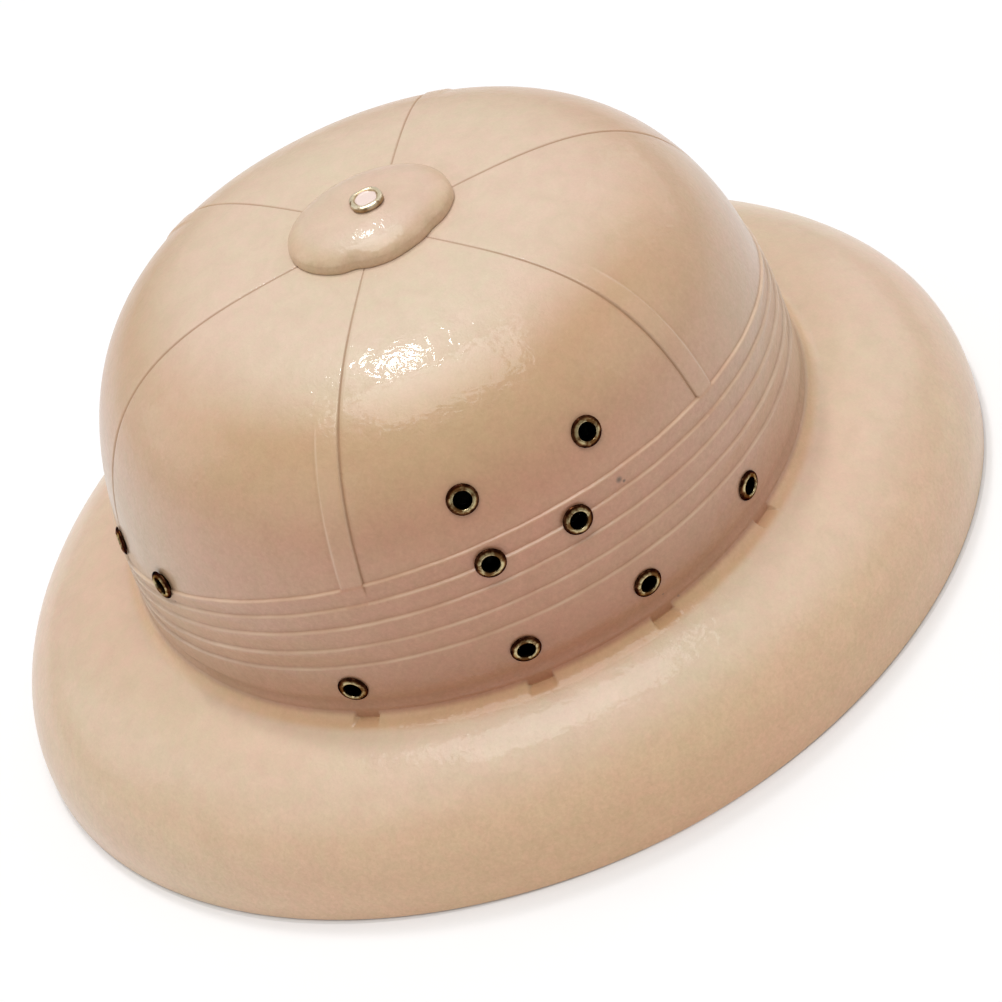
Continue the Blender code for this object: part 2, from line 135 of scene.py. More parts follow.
# The plastic's colours, with light and shade painted in: darker low on the crown's sides as painted shade,
# less at its front and back, lighter on top as painted light, a warm ring round the crown's foot that is
# painted shade and warm bounce light from the wall, and pale over the brim as painted light, with a warmer,
# darker edge as painted shade
SIDE_COLOUR = (0.530, 0.279, 0.173)
END_COLOUR = (0.598, 0.422, 0.308)
HAUNCH_COLOUR = (0.553, 0.358, 0.205)
TOP_COLOUR = (0.680, 0.544, 0.432)
# Painted shade that darkens the crown's wall towards its foot
SIDE_FOOT_SHADE = (0.85, 0.74, 0.70)
END_FOOT_SHADE = (0.90, 0.86, 0.84)
# Painted shade and warm bounce light from the crown's wall, in a ring round its foot
RING_SIDE_COLOUR = (0.630, 0.372, 0.214)
RING_END_COLOUR = (0.710, 0.492, 0.315)
# Painted light: the brim paler than the crown's walls, most on its sides
BRIM_SIDE_COLOUR = (0.775, 0.598, 0.460)
BRIM_END_COLOUR = (0.672, 0.510, 0.386)
# Painted shade where the brim's edge turns down: warmer and darker there
EDGE_COLOUR = (0.765, 0.500, 0.312)
EDGE_SHADE = (0.88, 0.85, 0.81)
# The cap's colours, with painted shade on the slope of its edge
CAP_COLOUR = (0.655, 0.510, 0.400)
CAP_EDGE_COLOUR = (0.640, 0.470, 0.320)

# The shell's grid: the widest step between columns in degrees, and the rows of each stretch
COLUMN_STEP = 1.20
CAP_SHARES = (0.03, 0.10, 0.17, 0.21)
TOP_SHARE = 0.235
SHOULDER_SHARE = 0.86
TOP_ROWS = 38
PANEL_ROWS = 25
FOLD_ROWS = 3
FOOT_ROWS = 7
NOTCH_ROWS = 12
RING_ROWS = 5
BRIM_ROWS = 42
INNER_SHARES = (0.78, 0.68, 0.57, 0.45, 0.33, 0.20, 0.08)
# Columns on both sides of a notch's edge, in millimetres from it
NOTCH_MARKS = (-0.75, -0.25, 0.25, 0.75)
# Faces that meet at more than this many degrees keep a sharp edge between them
SHARP_ANGLE = 75.0

# How far below the first fold's line the tapes fade out, and how far their grooves run on
TAPE_END = (0.4, 4.2)
FRONT_RUN_ON = 4.5
BACK_RUN_ON = 0.8
# The share of its depth that a seam's groove has near the cap, and what it gains down to the wall
GROOVE_KEPT = 0.55
GROOVE_GAIN = 0.45
# Deeper relief than this is a seam's groove, not the faint line along a tape's outer edge
GROOVE_LEAST = -0.06
# The groove depth that gets the most dirt and painted shade, and the share of dirt and painted shade in a
# fold's crease
DIRT_AND_SHADE_DEPTH = 0.32
FOLD_DIRT_AND_SHADE = 0.30

# The brim's rounded edge, from its outer to its inner face: distance out, and height
EDGE_PROFILE = (
    (0.00, 0.75), (-0.08, 0.36), (-0.30, 0.11), (-0.65, 0.00), (-1.60, 0.00), (-1.92, 0.08), (-2.12, 0.30),
)
# Wear and a painted highlight along the brim's rounded edge
EDGE_WEAR_AND_HIGHLIGHT = 0.35

# An eyelet's flange and rolled rim: radius, and height over the seat
FLANGE_PROFILE = (
    (4.65, 0.02), (4.62, 0.20), (4.52, 0.38), (4.36, 0.52), (4.14, 0.63),
    (3.88, 0.74), (3.62, 0.86), (3.38, 0.96), (3.16, 1.03), (2.98, 1.03),
    (2.84, 0.94), (2.74, 0.77), (2.68, 0.50), (2.64, 0.18), (2.60, -0.20),
)
EYELET_SIDES = 48

# Holes through the shell
TUBE_ROOM = 0.15
RIVET_HOLE = 2.2
DRILL_LENGTH = 9.0
DRILL_SIDES = 32

# The cap's rounded edge, from its outer to its inner face: distance in, and height
CAP_EDGE_PROFILE = (
    (0.08, 1.25), (0.00, 0.90), (0.00, 0.20), (0.10, -0.13), (0.32, -0.25), (1.20, -0.25), (CAP_WALL, -0.25),
)
CAP_COLUMNS = 128
CAP_ROWS = 34
CAP_INNER_SHARES = (0.98, 0.94, 0.86, 0.74, 0.58, 0.40, 0.22, 0.10)
CAP_HOLE = 2.3
# Uneven places of the cap's edge: an angle, how far it stands out there, and how wide that is
CAP_UNEVEN = ((-29.0, -1.1, 7.0), (-4.0, 0.6, 12.0), (33.0, -0.9, 8.0), (68.0, 0.4, 12.0))
RIVET_COLUMNS = 64

# Tones that vary the plastic: a noise, and the tones at a low and at a high value of it
TONES = (
    ("broad", (17.0, 2.0, 0.50, 0.4), 0.30, (1.030, 0.970, 0.960), 0.70, (0.980, 1.010, 0.950)),
    ("hue", (210.0, 2.0, 0.50, 0.4), 0.36, (1.020, 0.985, 0.995), 0.64, (0.985, 1.005, 0.975)),
    ("blotch", (120.0, 3.0, 0.60, 0.6), 0.30, (0.965, 0.955, 0.945), 0.70, (1.030, 1.030, 1.030)),
    ("mottle", (700.0, 3.0, 0.65, 0.5), 0.30, (0.920, 0.900, 0.880), 0.70, (1.060, 1.070, 1.090)),
    ("grain", (1500.0, 2.0, 0.60, 0.0), 0.25, (0.965, 0.960, 0.955), 0.75, (1.020, 1.020, 1.020)),
)
# Dirt and painted shade in the grooves and the folds' creases
DIRT_AND_SHADE_COLOUR = (0.30, 0.160, 0.088)
# Wear and painted highlights on the folds' lips, the tapes' edges and the brim's edge
WEAR_AND_HIGHLIGHT_COLOUR = (0.82, 0.63, 0.45)
SPECK_COLOUR = (0.20, 0.12, 0.08)
# Small dark blemishes on the left side: angle, level and radius
BLEMISHES = ((11.9, 0.526, 0.85), (12.6, 0.512, 0.45))
BLEMISH_COLOUR = (0.14, 0.09, 0.055)

# Colours from the middle of the brass outwards, by distance as a share of the rings' reach. The black middle
# is painted shade inside the bore, and the dark outer rim is partly patina and partly painted shade at the
# flange's edge
RING_REACH = 6.0
EYELET_RINGS = (
    (0.000, (0.010, 0.008, 0.007)),
    (0.428, (0.010, 0.008, 0.007)),
    (0.444, (0.280, 0.220, 0.120)),
    (0.475, (0.540, 0.450, 0.260)),
    (0.585, (0.540, 0.440, 0.240)),
    (0.630, (0.340, 0.220, 0.100)),
    (0.662, (0.120, 0.042, 0.014)),
    (0.700, (0.070, 0.022, 0.008)),
    (0.760, (0.064, 0.022, 0.008)),
)
TARNISH_SHADE = (0.260, 0.150, 0.090)
# The rivet's pale middle is a painted reflection of the pale surroundings
RIVET_RINGS = (
    (0.00, (0.80, 0.65, 0.60)),
    (0.53, (0.82, 0.67, 0.62)),
    (0.58, (0.42, 0.27, 0.12)),
    (0.65, (0.86, 0.74, 0.52)),
    (0.80, (0.88, 0.78, 0.58)),
    (0.88, (0.40, 0.26, 0.13)),
)
RIVET_BROWN = (0.24, 0.13, 0.05)

# The camera, in degrees and metres
CAMERA_AZIMUTH = 80.194
CAMERA_ELEVATION = 43.263
CAMERA_ROLL = -21.482
CAMERA_GOAL = (0.0, 0.0, 0.060)
CAMERA_RIGHT = 0.014274
CAMERA_DOWN = 0.025522
CAMERA_DISTANCE = 0.746543
SENSOR_WIDTH = 36.0
# In pixels of the photograph
FOCAL_LENGTH = 2326.143
PICTURE_WIDTH = 1002.0

# Lights, in metres and watts: name, place, goal's height, width, length and power
LAMPS = (
    ("overhead", (0.16, 0.0, 1.62), 0.06, 0.90, 0.90, 10.0),
    ("gloss", (-0.52, 0.02, 1.52), 0.10, 0.14, 0.32, 4.3),
    ("glint", (-0.50, 0.02, 1.47), 0.10, 0.09, 0.11, 1.1),
)
# Weak square lights round the hat: name, turn from +X, and power
AROUND = (
    ("back_left", 60.0, 1.6), ("back_right", 120.0, 2.3),
    ("front_right", 240.0, 2.3), ("front_left", 300.0, 1.6),
)
AROUND_REACH = 1.41
AROUND_HEIGHT = 0.81
AROUND_GOAL = 0.06
AROUND_SIZE = 0.9
SURROUND_COLOUR = (1.0, 0.972, 0.925)
SURROUND_STRENGTH = 0.405

# The floor, in metres. It glows outside a share, squared, of the brim's oval
FLOOR_COLOUR = (0.86, 0.87, 0.89)
FLOOR_GLOW = 0.12
FLOOR_DARK_SHARE = 0.993
FLOOR_RADIUS = 6.0
FLOOR_DROP = 0.0002
FLOOR_SIDES = 64


# Shape of the hat

def oval(angle, half_width, half_length, power):
    """Points of a superellipse at angles from +X."""
    across = np.cos(np.radians(angle))
    along = np.sin(np.radians(angle))
    radius = (np.abs(across) ** power + np.abs(along) ** power) ** (-1.0 / power)
    return np.stack([half_width * radius * across, half_length * radius * along], -1)


def share_at(level):
    """The crown's plan at a level, as a share of its plan at the foot."""
    wall = np.maximum(0.0, 1.0 - np.maximum(level, 0.0) ** CROWN_TOP_POWER) ** (1.0 / CROWN_WALL_POWER)
    return wall * (1.0 - CROWN_TAPER * level * (1.0 - level))


def level_at(share):
    """The level where the crown has narrowed to a share."""
    low = 0.0
    high = 1.0
    for _ in range(40):
        middle = (low + high) / 2.0
        if share_at(np.float64(middle)) > share:
            low = middle
        else:
            high = middle
    return low


def crown_point(angle, level):
    """Points of the crown's smooth outer face."""
    angle, level = np.broadcast_arrays(np.asarray(angle, float), np.asarray(level, float))
    power = 2.0 + CROWN_TOP_SQUARENESS * level * level
    plan = oval(angle, CROWN_HALF_WIDTH, CROWN_HALF_LENGTH, power) * share_at(level)[..., None]
    return np.stack([plan[..., 0], plan[..., 1] + CROWN_SHIFT, BRIM_RISE + CROWN_HEIGHT * level], -1)


def brim_point(angle, reach):
    """Points of the brim's smooth upper face, from reach 0 at the crown's foot to 1 at the edge."""
    angle, reach = np.broadcast_arrays(np.asarray(angle, float), np.asarray(reach, float))
    foot = oval(angle, CROWN_HALF_WIDTH, CROWN_HALF_LENGTH, 2.0) + np.array([0.0, CROWN_SHIFT])
    edge = oval(angle, RIM_HALF_WIDTH, RIM_HALF_LENGTH, RIM_POWER)
    plan = foot + (edge - foot) * reach[..., None]
    height = BRIM_RISE * np.maximum(0.0, 1.0 - reach**BRIM_POWER) ** (1.0 / BRIM_POWER)
    return np.concatenate([plan, height[..., None]], -1)


def fillet_reach(angle):
    """How much of the brim's reach the fillet at the crown's foot takes."""
    depth = np.linalg.norm(brim_point(angle, 1.0)[..., :2] - brim_point(angle, 0.0)[..., :2], axis=-1)
    return FILLET / depth


def skin_point(angle, place):
    """Points of the smooth skin. A place is up to 1 on the crown, 2 on the fillet and 3 on the brim."""
    angle, place = np.broadcast_arrays(np.asarray(angle, float), np.asarray(place, float))
    crown = crown_point(angle, 1.0 - (1.0 - FOOT_LEVEL) * np.minimum(place, 1.0))
    near = fillet_reach(angle)
    turn = np.radians(90.0 * np.clip(place - 1.0, 0.0, 1.0))
    corner = brim_point(angle, near * (1.0 - np.cos(turn)))
    corner[..., 2] += FILLET * (1.0 - np.sin(turn))
    lean = np.radians(90.0 * np.clip(place - 2.0, 0.0, 1.0))
    brim = brim_point(angle, near + (1.0 - near) * np.sin(lean))
    return np.where((place <= 1.0)[..., None], crown, np.where((place < 2.0)[..., None], corner, brim))


def skin_normal(angle, place):
    """Outward directions of the smooth skin."""
    turn = 0.02
    reach = 0.0005
    across = skin_point(angle + turn, place) - skin_point(angle - turn, place)
    lower = skin_point(angle, np.minimum(place + reach, 3.0))
    upper = skin_point(angle, np.maximum(place - reach, 0.0))
    normal = np.cross(lower - upper, across)
    return normal / np.maximum(np.linalg.norm(normal, axis=-1, keepdims=True), 1e-12)


def place_at(level):
    """The place of a level of the crown."""
    return (1.0 - level) / (1.0 - FOOT_LEVEL)


def fold_level(number, angle):
    """The level of a fold's line at an angle. Number 0 is the top fold."""
    turn = np.degrees(np.arcsin(np.sin(np.radians(angle))))
    front = turn < FOLD_CREST
    depth = np.where(front, FRONT_DIP, BACK_DIP)
    way = (turn - FOLD_CREST) / np.where(front, -90.0 - FOLD_CREST, 90.0 - FOLD_CREST)
    room = FOLD_LEVELS[-1] - FOOT_LEVEL
    fan = 1.0 + FOLD_FAN * (1.0 - number / (len(FOLD_LEVELS) - 1))
    # The lines waver a little, as the moulding's do
    round_hat = np.radians(angle)
    waver = 0.05 * np.sin(29.0 * round_hat + 1.9 * number) + 0.03 * np.sin(83.0 * round_hat + 3.1 * number)
    return FOLD_LEVELS[number] - room * depth * fan * np.abs(way) ** DIP_POWER + waver / CROWN_HEIGHT


def smooth(low, high, value):
    """A smooth step from 0 at low to 1 at high."""
    share = np.clip((value - low) / (high - low), 0.0, 1.0)
    return share * share * (3.0 - 2.0 * share)


def blend(first, second, share):
    """Colours between two colours."""
    share = np.asarray(share)[..., None]
    return np.asarray(first) * (1.0 - share) + np.asarray(second) * share


def sidedness(angle):
    """1 on the hat's sides, a little towards the front, and 0 at its front and back."""
    turn = np.arcsin(np.sin(np.radians(angle)))
    return np.cos(turn + math.radians(9.0)) ** 2


def crown_colour(angle, level):
    """The plastic's colour on the crown, with painted light and shade: darker on the sides and towards the
    foot, lighter on top.
    """
    side = sidedness(angle)
    wall = blend(END_COLOUR, SIDE_COLOUR, side)
    shade = blend(END_FOOT_SHADE, SIDE_FOOT_SHADE, side)
    wall = wall * (shade + (1.0 - shade) * smooth(0.05, 0.33, level)[..., None])
    haunch = blend(wall, blend(wall, HAUNCH_COLOUR, 0.3 + 0.7 * side), smooth(0.64, 0.82, level))
    return blend(haunch, TOP_COLOUR, smooth(0.88, 1.0, level))


def brim_colour(angle, reach):
    """The plastic's colour on the brim, with painted light over it and painted shade towards its edge."""
    side = np.cos(np.radians(angle)) ** 2
    brim = blend(BRIM_END_COLOUR, BRIM_SIDE_COLOUR, side)
    brim = blend(brim, EDGE_COLOUR, smooth(0.50, 1.0, reach) * (0.3 + 0.7 * side))
    return brim * (1.0 + (np.array(EDGE_SHADE) - 1.0) * (smooth(0.84, 1.0, reach) * side)[..., None])


def foot_colour(angle, out, reach):
    """The plastic's colour round the crown's foot, out from the crown's wall in millimetres, with a ring of
    painted shade and warm bounce light.
    """
    side = sidedness(angle)
    ring = blend(RING_END_COLOUR, RING_SIDE_COLOUR, side)
    ring = blend(crown_colour(angle, np.zeros_like(angle)), ring, smooth(0.65, 1.9, out))
    return blend(ring, brim_colour(angle, reach), smooth(2.4 + 2.0 * side, 6.0 + 1.1 * side, out))


# The shell's grid

def make_rails():
    """Lines down the crown: a seam's angle, the distance from it, and what tape and grooves do there."""
    rails = [(-90.0, distance, 0.0, 0.0, depth) for distance, depth in GROOVE_PROFILE]
    for middle in (0.0, 180.0):
        tape = [(middle + SEAM_ANGLE, d, rise, groove, 0.0) for d, rise, groove in TAPE_PROFILE]
        mirror = [(middle - SEAM_ANGLE, -d, rise, groove, 0.0) for d, rise, groove in TAPE_PROFILE]
        rails += mirror[::-1] + [(middle, 0.0, 0.0, 0.0, 0.0)] + tape
        seam = middle + 90.0
        rails += [(seam, -distance, 0.0, 0.0, depth) for distance, depth in GROOVE_PROFILE[:0:-1]]
        if middle == 0.0:
            rails += [(seam, distance, 0.0, 0.0, depth) for distance, depth in GROOVE_PROFILE]
    return np.array(rails)


def rail_angle(rails, level):
    """The angles of rails at levels. They keep their distance from the seam, nearly up to the cap."""
    level = np.minimum(level, level_at(RAIL_SHARE))
    at_seam = crown_point(rails[:, 0], level) - np.array([0.0, CROWN_SHIFT, 0.0])
    radius = np.linalg.norm(at_seam[..., :2], axis=-1)
    return rails[:, 0] + np.degrees(rails[:, 1] / radius)


def notch_places():
    """The angle of each notch, its half width, and a millimetre, in degrees at the crown's foot."""
    places = []
    for left in NOTCH_ANGLES:
        for angle in (left, 180.0 - left):
            radius = np.linalg.norm(crown_point(angle, 0.0)[:2] - np.array([0.0, CROWN_SHIFT]))
            places.append((angle, math.degrees(NOTCH_WIDTH / 2.0 / radius), math.degrees(1.0 / radius)))
    return places


def make_columns():
    """Columns round the hat: the rails, the rail before and after each column, and its way between them."""
    rails = make_rails()
    foot = rail_angle(rails, np.zeros(len(rails)))
    marks = []
    for angle, half, degree in notch_places():
        for side in (-1.0, 1.0):
            marks += [angle + side * (half + offset * degree) for offset in NOTCH_MARKS]
    first = []
    last = []
    fraction = []
    for index in range(len(rails)):
        after = (index + 1) % len(rails)
        start = foot[index]
        end = foot[after] + (360.0 if after == 0 else 0.0)
        inside = sorted(mark for mark in marks if start + 0.02 < mark < end - 0.02)
        stops = [start] + inside + [end]
        angles = []
        for low, high in zip(stops, stops[1:]):
            steps = max(1, math.ceil((high - low) / COLUMN_STEP))
            angles += [low + (high - low) * step / steps for step in range(steps)]
        for angle in angles:
            first.append(index)
            last.append(after)
            fraction.append((angle - start) / (end - start))
    return rails, np.array(first), np.array(last), np.array(fraction)


class Grid:
    """The columns of the shell and what each carries."""

    def __init__(self):
        self.rails, self.first, self.last, self.fraction = make_columns()
        mixed = self.rails[self.first] * (1.0 - self.fraction[:, None])
        mixed = mixed + self.rails[self.last] * self.fraction[:, None]
        self.tape = mixed[:, 2]
        self.groove = mixed[:, 3]
        self.centre = mixed[:, 4]
        self.foot = self.angle(np.zeros(len(self.first)))
        self.count = len(self.first)
        self.notch = np.zeros(self.count)
        for angle, half, degree in notch_places():
            away = np.abs((self.foot - angle + 180.0) % 360.0 - 180.0)
            self.notch = np.maximum(self.notch, smooth(-0.25 * degree, 0.25 * degree, half - away))

    def angle(self, level):
        """The angle of every column at a level that may differ from column to column."""
        start = rail_angle(self.rails[self.first], level)
        end = rail_angle(self.rails[self.last], level)
        end = np.where(self.last == 0, end + 360.0, end)
        return start + (end - start) * self.fraction

    def settle(self, level_of):
        """Angle and level of every column on a line whose level changes round the hat."""
        angle = self.angle(level_of(self.foot))
        angle = self.angle(level_of(angle))
        return angle, level_of(angle)


def fold_relief(angle, level):
    """How far the folds stand out, in millimetres, and how near a point is to a fold's lip or crease."""
    start, rise = zip(*FOLD_PROFILE)
    total = np.zeros_like(level)
    lip = np.zeros_like(level)
    crease = np.zeros_like(level)
    turn = np.radians(angle)
    for number in range(len(FOLD_LEVELS)):
        line = fold_level(number, angle)
        here = (line - level) * CROWN_HEIGHT
        uneven = 1.0 + 0.08 * np.sin(3.0 * turn + 1.7 * number) + 0.06 * np.sin(7.0 * turn + 2.9 * number)
        height = np.interp(here, start, rise)
        inside = here >= start[0]
        if number < len(FOLD_LEVELS) - 1:
            run = (line - fold_level(number + 1, angle)) * CROWN_HEIGHT + start[0]
            inside &= here < run
            height = np.where(here < start[-1], height, rise[-1] * (run - here) / (run - start[-1]))
        total = np.where(inside, height * uneven, total)
        broken = 1.0 + 0.22 * np.sin(17.0 * turn + 2.3 * number) + 0.16 * np.sin(43.0 * turn + 1.1 * number)
        lip = np.maximum(lip, np.exp(-(((here - 0.40) / 0.32) ** 2)) * uneven * broken)
        crease = np.maximum(crease, np.exp(-(((here + 0.20) / 0.26) ** 2)) * uneven * (2.0 - broken))
    return total, lip, crease


def level_lines():
    """The rows of the crown's outer face from the top down, each a level that may change with the angle."""

    def flat(level):
        return lambda angle: np.full_like(angle, level)

    def fold(number, distance):
        return lambda angle: fold_level(number, angle) - distance / CROWN_HEIGHT

    def between(upper, lower, share):
        return lambda angle: upper(angle) + (lower(angle) - upper(angle)) * share

    lines = [flat(level_at(share)) for share in CAP_SHARES]
    top = level_at(TOP_SHARE)
    shoulder = level_at(SHOULDER_SHARE)
    # Rows an even way apart along the crown's outline
    levels = np.linspace(shoulder, top, 4000)
    outline = np.stack([share_at(levels) * CROWN_HALF_WIDTH, levels * CROWN_HEIGHT], -1)
    walked = np.concatenate([[0.0], np.cumsum(np.linalg.norm(np.diff(outline, axis=0), axis=1))])
    lines += [flat(level) for level in np.interp(np.linspace(walked[-1], 0.0, TOP_ROWS + 1), walked, levels)]
    panel = [row / PANEL_ROWS for row in range(1, PANEL_ROWS + 1)]
    lines += [between(flat(shoulder), fold(0, -1.2), share) for share in panel]
    distances = [distance for distance, _ in FOLD_PROFILE]
    last = len(FOLD_LEVELS) - 1
    for number in range(last + 1):
        lines += [fold(number, distance) for distance in distances]
        if number < last:
            for row in range(1, FOLD_ROWS + 1):
                share = row / (FOLD_ROWS + 1)
                lines.append(between(fold(number, distances[-1]), fold(number + 1, distances[0]), share))
    foot = [row / FOOT_ROWS for row in range(1, FOOT_ROWS + 1)]
    lines += [between(fold(last, distances[-1]), flat(FOOT_LEVEL), share) for share in foot]
    return lines


def clean_marks(tint, wear_and_highlight=0.0):
    """Marks for points without dirt or painted shade, with an even wear and painted highlight."""
    zero = np.zeros(len(tint))
    return np.column_stack([zero, zero + wear_and_highlight, tint])


def crown_rows(grid):
    """Points and marks of the outer face, from the top down to the fillet."""
    points = []
    marks = []
    for line in level_lines():
        angle, level = grid.settle(line)
        below = (fold_level(0, angle) - level) * CROWN_HEIGHT
        fold, lip, crease = fold_relief(angle, level)
        strength = smooth(TAPE_FADE[0], TAPE_FADE[1], share_at(level))
        seam = smooth(TAPE_GONE_SHARE - 0.25, TAPE_FULL_SHARE, share_at(level))
        tape = grid.tape * strength * (1.0 - smooth(TAPE_END[0], TAPE_END[1], below))
        held = np.clip(grid.tape * strength / 0.3, 0.0, 1.0)
        above = 1.0 - smooth(-0.35, 0.15, below)
        # The front tapes' grooves run on over the first fold
        run_on = np.where(np.sin(np.radians(angle)) < 0.0, FRONT_RUN_ON, BACK_RUN_ON)
        kept = GROOVE_KEPT + GROOVE_GAIN * seam
        depth = np.where(grid.groove < GROOVE_LEAST, kept, strength)
        groove = grid.groove * depth * (1.0 - smooth(0.15 * run_on, run_on, below))
        centre = grid.centre * kept * above
        out = fold * (1.0 - held) + np.maximum(fold, tape) * held + groove + centre
        place = place_at(level)
        normal = skin_normal(angle, place)
        points.append(skin_point(angle, place) + normal * out[:, None])
        # A tape hides the folds' lips and creases that it crosses
        second = (fold_level(1, angle) - level) * CROWN_HEIGHT
        fade = np.where(np.abs(second) < 2.0, 1.0 - 0.6 * held, 1.0)
        fade = np.where(np.abs(below) < 2.0, 1.0 - held, fade)
        # Grooves and the folds' creases get dirt and painted shade
        groove_darkening = -(groove + centre) * (1.5 - 0.5 * seam) / DIRT_AND_SHADE_DEPTH
        dirt_and_shade = np.maximum(FOLD_DIRT_AND_SHADE * crease * fade, np.clip(groove_darkening, 0.0, 1.0))
        # The folds' lips and the tapes' sloping edges get wear and a painted highlight
        wear_and_highlight = np.maximum(lip * fade, np.exp(-(((grid.tape - 0.34) / 0.26) ** 2)) * strength * above)
        marks.append(np.column_stack([dirt_and_shade, wear_and_highlight, crown_colour(angle, level)]))
    return points, marks


def brim_rows(grid):
    """Points and marks of the outer face from the fillet to the edge."""
    angle = grid.foot
    zero = np.zeros_like(angle)
    points = []
    marks = []
    stand = math.degrees(math.acos(1.0 - FOLD_STEP / FILLET))
    leave = math.degrees(math.asin(1.0 - NOTCH_FLOOR / FILLET))
    near = fillet_reach(angle)
    # Two rows close to the corner where the fillet leaves the band's face keep it crisp
    turns = [0.5 * stand, stand - 2.0, stand, stand + 2.0]
    turns += list(np.linspace(stand, leave, NOTCH_ROWS)[1:]) + list(np.linspace(leave, 90.0, RING_ROWS)[1:])
    low = FILLET * (1.0 - math.sin(math.radians(stand)))
    far = FILLET * (1.0 - math.cos(math.radians(leave)))
    for turn in turns:
        bend = math.radians(turn)
        out = max(FOLD_STEP, FILLET * (1.0 - math.cos(bend)))
        up = FILLET * (1.0 - math.sin(bend))
        # Inside a notch the same rows run straight down the wall and out along the notch's floor
        notch_out = out
        notch_up = up
        if stand < turn <= leave:
            way = (turn - stand) / (leave - stand) * ((low - NOTCH_FLOOR) + (far - FOLD_STEP))
            notch_up = max(NOTCH_FLOOR, low - way)
            notch_out = FOLD_STEP + max(0.0, way - (low - NOTCH_FLOOR))
        # The notch's wall is as dark as the band's painted shade, and its floor as light as the ring round
        # it
        tint_at = max(out, 3.4) if notch_up < NOTCH_FLOOR + 0.05 else FOLD_STEP
        tint_at = out + (tint_at - out) * grid.notch
        out = out + (notch_out - out) * grid.notch
        up = up + (notch_up - up) * grid.notch
        point = brim_point(angle, near * out / FILLET)
        point[:, 2] += up
        points.append(point)
        marks.append(clean_marks(foot_colour(angle, tint_at, tint_at * near / FILLET)))
    for lean in np.linspace(0.0, 89.2, BRIM_ROWS)[1:]:
        place = zero + 2.0 + lean / 90.0
        points.append(skin_point(angle, place))
        reach = near + (1.0 - near) * math.sin(math.radians(lean))
        marks.append(clean_marks(foot_colour(angle, reach / near * FILLET, reach)))
    outward = skin_normal(angle, zero + 2.999)
    outward[:, 2] = 0.0
    outward /= np.linalg.norm(outward, axis=1, keepdims=True)
    edge = brim_point(angle, 1.0)
    # The rounded edge gets wear and a painted highlight
    for out, up in EDGE_PROFILE:
        point = edge + outward * out
        point[:, 2] = up
        points.append(point)
        marks.append(clean_marks(brim_colour(angle, zero + 1.0), EDGE_WEAR_AND_HIGHLIGHT))
    return points, marks


def inner_rows(grid):
    """Points and marks of the plain inner face, from the edge up to the top."""
    zero = np.zeros(grid.count)
    places = list(np.linspace(2.985, 2.0, 15)) + list(np.linspace(2.0, 1.0, 6)[1:])
    lines = [(grid.foot, zero + place) for place in places]
    levels = list(np.linspace(FOOT_LEVEL, level_at(SHOULDER_SHARE), 14)[1:])
    levels += [level_at(share) for share in INNER_SHARES]
    lines += [(grid.angle(zero + level), zero + place_at(level)) for level in levels]
    points = [skin_point(angle, place) - skin_normal(angle, place) * WALL for angle, place in lines]
    marks = [clean_marks(brim_colour(angle, zero + 0.8)) for angle, _ in lines]
    return points, marks


# Meshes

def add_object(name, data):
    """A new object in the scene."""
    item = bpy.data.objects.new(name, data)
    bpy.context.scene.collection.objects.link(item)
    return item


def mesh_object(name, points, faces, material):
    """A smooth-shaded object from points in millimetres."""
    mesh = bpy.data.meshes.new(name)
    mesh.from_pydata((np.asarray(points) * MM).tolist(), [], faces)
    mesh.update()
    mesh.shade_smooth()
    mesh.materials.append(material)
    return add_object(name, mesh)


def grid_faces(rows, columns, closed_top=None, closed_bottom=None):
    """Quads between rows of points that each close into a ring, with fans to single points at the ends."""
    faces = []
    for row in range(rows - 1):
        start = row * columns
        for column in range(columns):
            after = (column + 1) % columns
            below = start + columns
            faces.append((start + column, below + column, below + after, start + after))
    if closed_top is not None:
        faces += [(closed_top, column, (column + 1) % columns) for column in range(columns)]
    if closed_bottom is not None:
        start = (rows - 1) * columns
        faces += [(closed_bottom, start + (i + 1) % columns, start + i) for i in range(columns)]
    return faces


def put_marks(item, points, marks):
    """Give each vertex the marks of the nearest point of the grid."""
    tree = kdtree.KDTree(len(points))
    for index, point in enumerate(points):
        tree.insert(point, index)
    tree.balance()
    mesh = item.data
    found = [tree.find(vertex.co / MM)[1] for vertex in mesh.vertices]
    for column, name in enumerate(("crease", "wear_and_highlight")):
        layer = mesh.attributes.new(name, "FLOAT", "POINT")
        layer.data.foreach_set("value", marks[found, column].astype(np.float32))
    tint = np.column_stack([marks[found, 2:5], np.ones(len(found))])
    layer = mesh.attributes.new("tint", "FLOAT_COLOR", "POINT")
    layer.data.foreach_set("color", tint.astype(np.float32).ravel())


def eyelet_places():
    """Name, angle and level of every eyelet."""
    places = [
        ("eyelet_front_centre", -90.0, CENTRE_EYELET_LEVEL),
        ("eyelet_left_near_front", NEAR_FRONT_ANGLE, NEAR_FRONT_LEVEL),
    ]
    for name, angle, level in SIDE_EYELETS:
        places.append(("eyelet_left_" + name, angle, level))
        places.append(("eyelet_right_" + name, 180.0 - angle, level))
    return places


def eyelet_frame(angle, level):
    """The matrix, in metres, that stands an eyelet on the smooth skin."""
    angle = np.array([angle])
    place = place_at(np.array([level]))
    normal = Vector(skin_normal(angle, place)[0])
    turn = Vector((0.0, 0.0, 1.0)).rotation_difference(normal).to_matrix().to_4x4()
    return Matrix.Translation(Vector(skin_point(angle, place)[0] * MM)) @ turn


